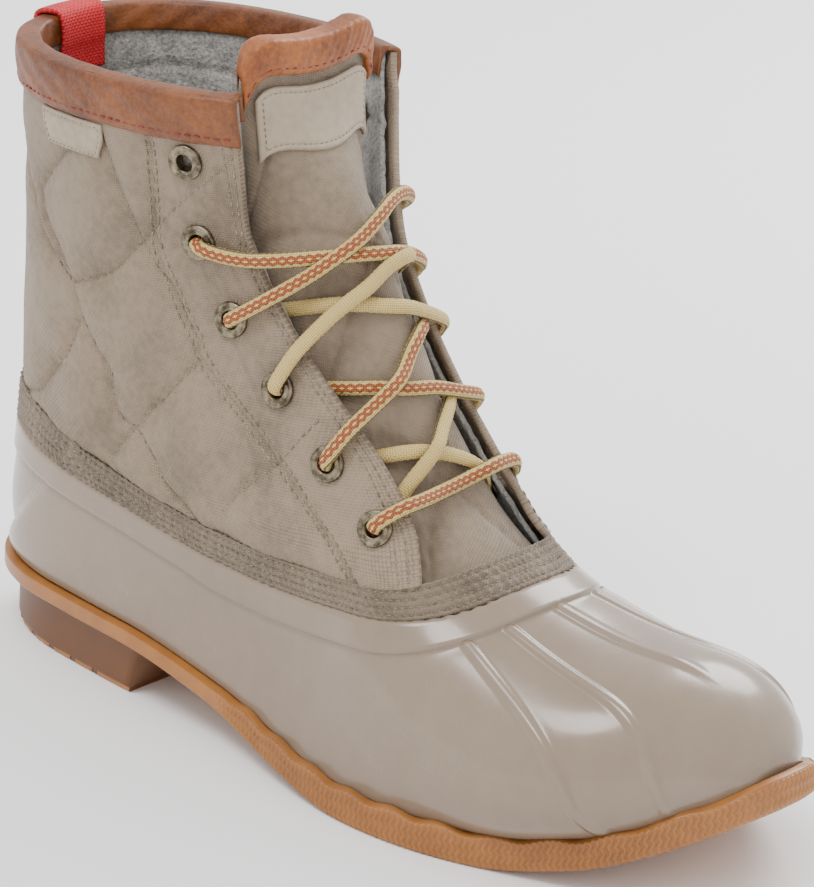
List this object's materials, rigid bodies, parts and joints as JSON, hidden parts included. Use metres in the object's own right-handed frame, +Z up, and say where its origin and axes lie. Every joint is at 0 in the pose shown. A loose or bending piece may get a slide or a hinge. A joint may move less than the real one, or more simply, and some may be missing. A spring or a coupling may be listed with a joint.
{
  "type": "duck boot, right",
  "caption": "Right ankle duck boot with a rubber shell, gum outsole and low heel, quilted nylon shaft, leather-bound collar and laced throat over a padded tongue.",
  "frame": {"origin": "middle of the boot's bounding box, on the floor under the outsole", "axes": "+Z up, toe towards -Y, heel towards +Y, outer (lateral) side towards -X, inner (medial) side towards +X"},
  "size_m": [0.0988, 0.2846, 0.2045],
  "materials": {
    "gum_rubber": "satin",
    "shell_rubber": "gloss",
    "nylon": "woven",
    "tan_leather": "satin",
    "red_webbing": "woven",
    "label_cloth": "matte",
    "fleece": "matte",
    "antique_brass": "antique",
    "lace_cord": "braided"
  },
  "bodies": {
    "root": {"outsole": "gum_rubber", "insole": "fleece", "shell": "shell_rubber", "shaft": "nylon", "tongue": "nylon", "collar_binding": "tan_leather", "tongue_binding": "tan_leather", "pull_strap": "red_webbing", "heel_patch": "shell_rubber", "tongue_label": "label_cloth", "collar_label": "label_cloth", "eyelet_lateral_1": "antique_brass", "eyelet_lateral_2": "antique_brass", "eyelet_lateral_3": "antique_brass", "eyelet_lateral_4": "antique_brass", "eyelet_lateral_5": "antique_brass", "eyelet_lateral_6": "antique_brass", "eyelet_medial_1": "antique_brass", "eyelet_medial_2": "antique_brass", "eyelet_medial_3": "antique_brass", "eyelet_medial_4": "antique_brass", "eyelet_medial_5": "antique_brass", "eyelet_medial_6": "antique_brass", "lace": "lace_cord"}
  },
  "joints": []
}
